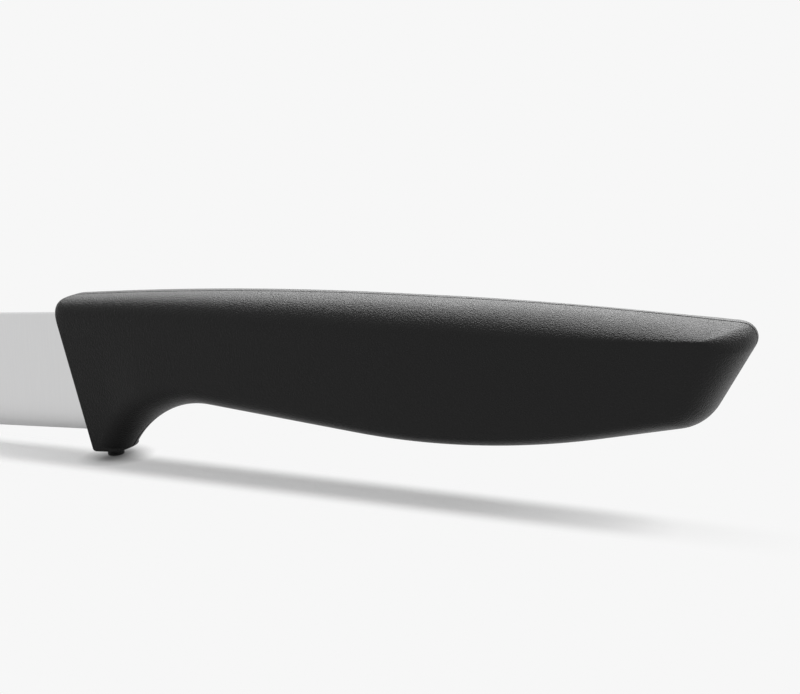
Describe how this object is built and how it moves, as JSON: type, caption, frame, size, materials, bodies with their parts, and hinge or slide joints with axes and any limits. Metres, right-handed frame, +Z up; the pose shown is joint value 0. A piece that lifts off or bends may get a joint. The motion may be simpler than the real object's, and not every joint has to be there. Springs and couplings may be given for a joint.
{
  "type": "vegetable knife",
  "caption": "Vegetable knife with a flat-ground steel blade and a black moulded handle with a crowned back, a finger guard and a slanted butt.",
  "frame": {"origin": "middle of the bounding box, on the table that the stub and the edge stand on", "axes": "+X from the tip to the butt along the table, +Y from the left side of the blade to the right, +Z up from the edge to the spine"},
  "size_m": [0.2088, 0.0168, 0.0302],
  "materials": {
    "steel": "satin, flat ground",
    "black_plastic": "matt, fine spark-eroded grain"
  },
  "bodies": {
    "root": {"blade": "steel", "handle_left": "black_plastic", "handle_right": "black_plastic"}
  },
  "joints": []
}
